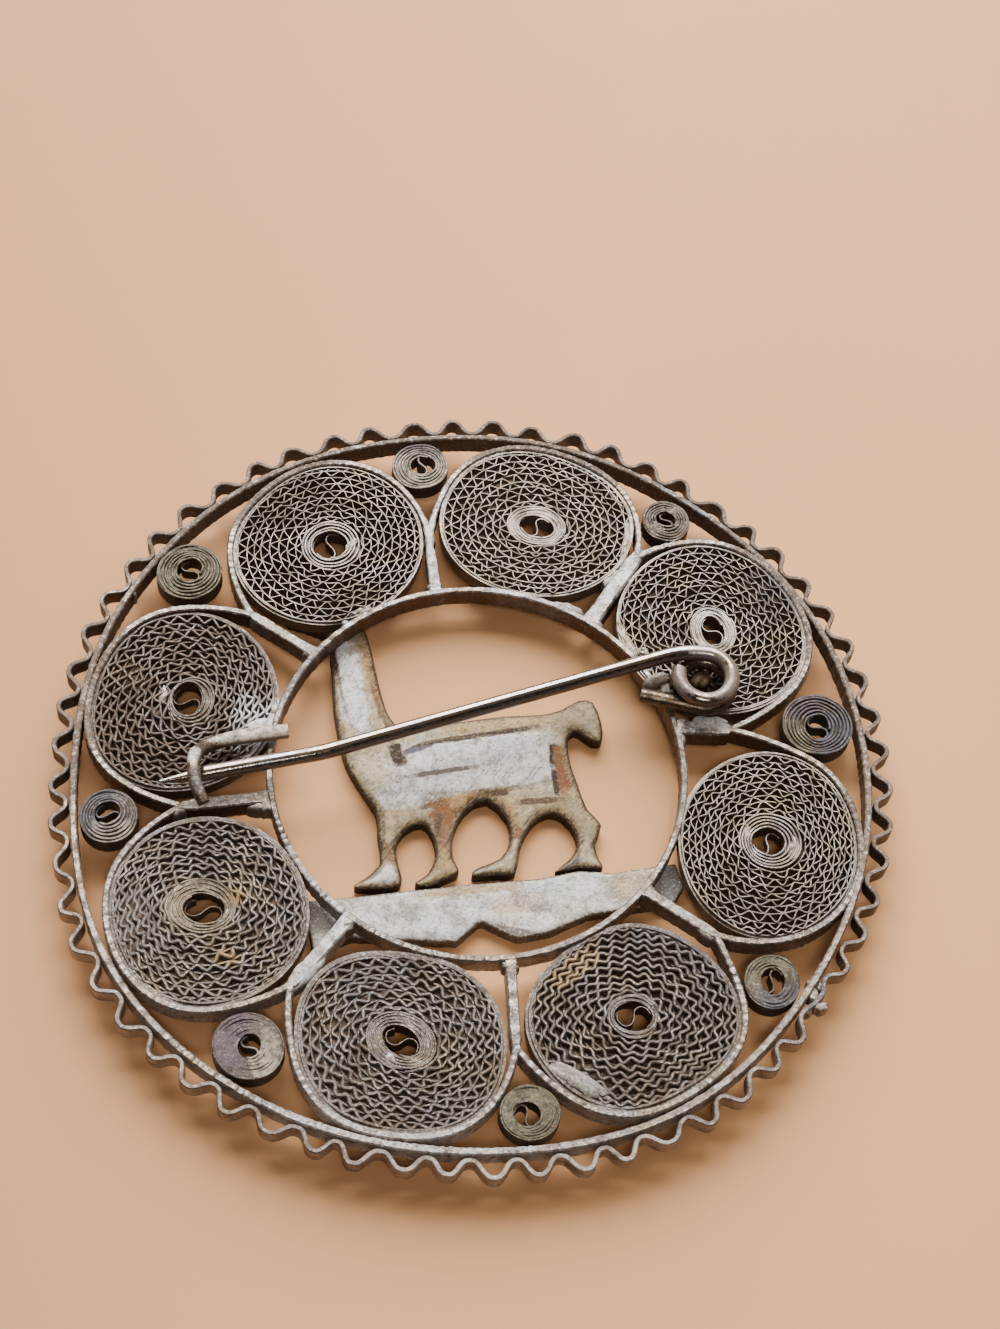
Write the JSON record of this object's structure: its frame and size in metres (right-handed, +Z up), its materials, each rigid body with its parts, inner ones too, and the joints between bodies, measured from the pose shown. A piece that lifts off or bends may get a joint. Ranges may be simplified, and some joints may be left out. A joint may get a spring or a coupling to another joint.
{
  "type": "filigree brooch",
  "caption": "Round silver filigree brooch with wound coils, a flat llama across the middle and a sprung pin and catch on its back.",
  "frame": {"origin": "middle of the brooch's outline, on the surface it lies on", "axes": "+Z up, out of the brooch's back, where the pin is; +X to the right, from the catch towards the pin's spring; +Y away from the viewer, from the ground plate towards the llama's back"},
  "size_m": [0.0494, 0.0498, 0.0057],
  "materials": {
    "strip_silver": "worn silver strip with dark recesses",
    "edge_silver": "tarnished silver ribbon",
    "coil_silver": "tarnished silver filigree",
    "rosette_silver": "darkly tarnished silver filigree",
    "sheet_silver": "matt silver sheet with worn bright faces",
    "wire_silver": "dull grey-brown wire",
    "pin_steel": "polished wire"
  },
  "bodies": {
    "root": {"frame": "strip_silver", "crimped_edge": "edge_silver", "coil_1": "coil_silver", "coil_2": "coil_silver", "coil_3": "coil_silver", "coil_4": "coil_silver", "coil_5": "coil_silver", "coil_6": "coil_silver", "coil_7": "coil_silver", "coil_8": "coil_silver", "rosette_1": "rosette_silver", "rosette_2": "rosette_silver", "rosette_3": "rosette_silver", "rosette_4": "rosette_silver", "rosette_5": "rosette_silver", "rosette_6": "rosette_silver", "rosette_7": "rosette_silver", "rosette_8": "rosette_silver", "llama": "sheet_silver", "ground_plate": "sheet_silver", "catch": "wire_silver", "pin_foot": "wire_silver"},
    "pin": {"pin": "pin_steel"}
  },
  "joints": [
    {"name": "pin_swing", "type": "hinge", "parent": "root", "child": "pin", "pos_m": [0.01282, 0.00729, 0.00413], "axis": [0, 0, 1], "range_deg": [0, 14], "stiffness_Nm_per_rad": 0.01}
  ]
}
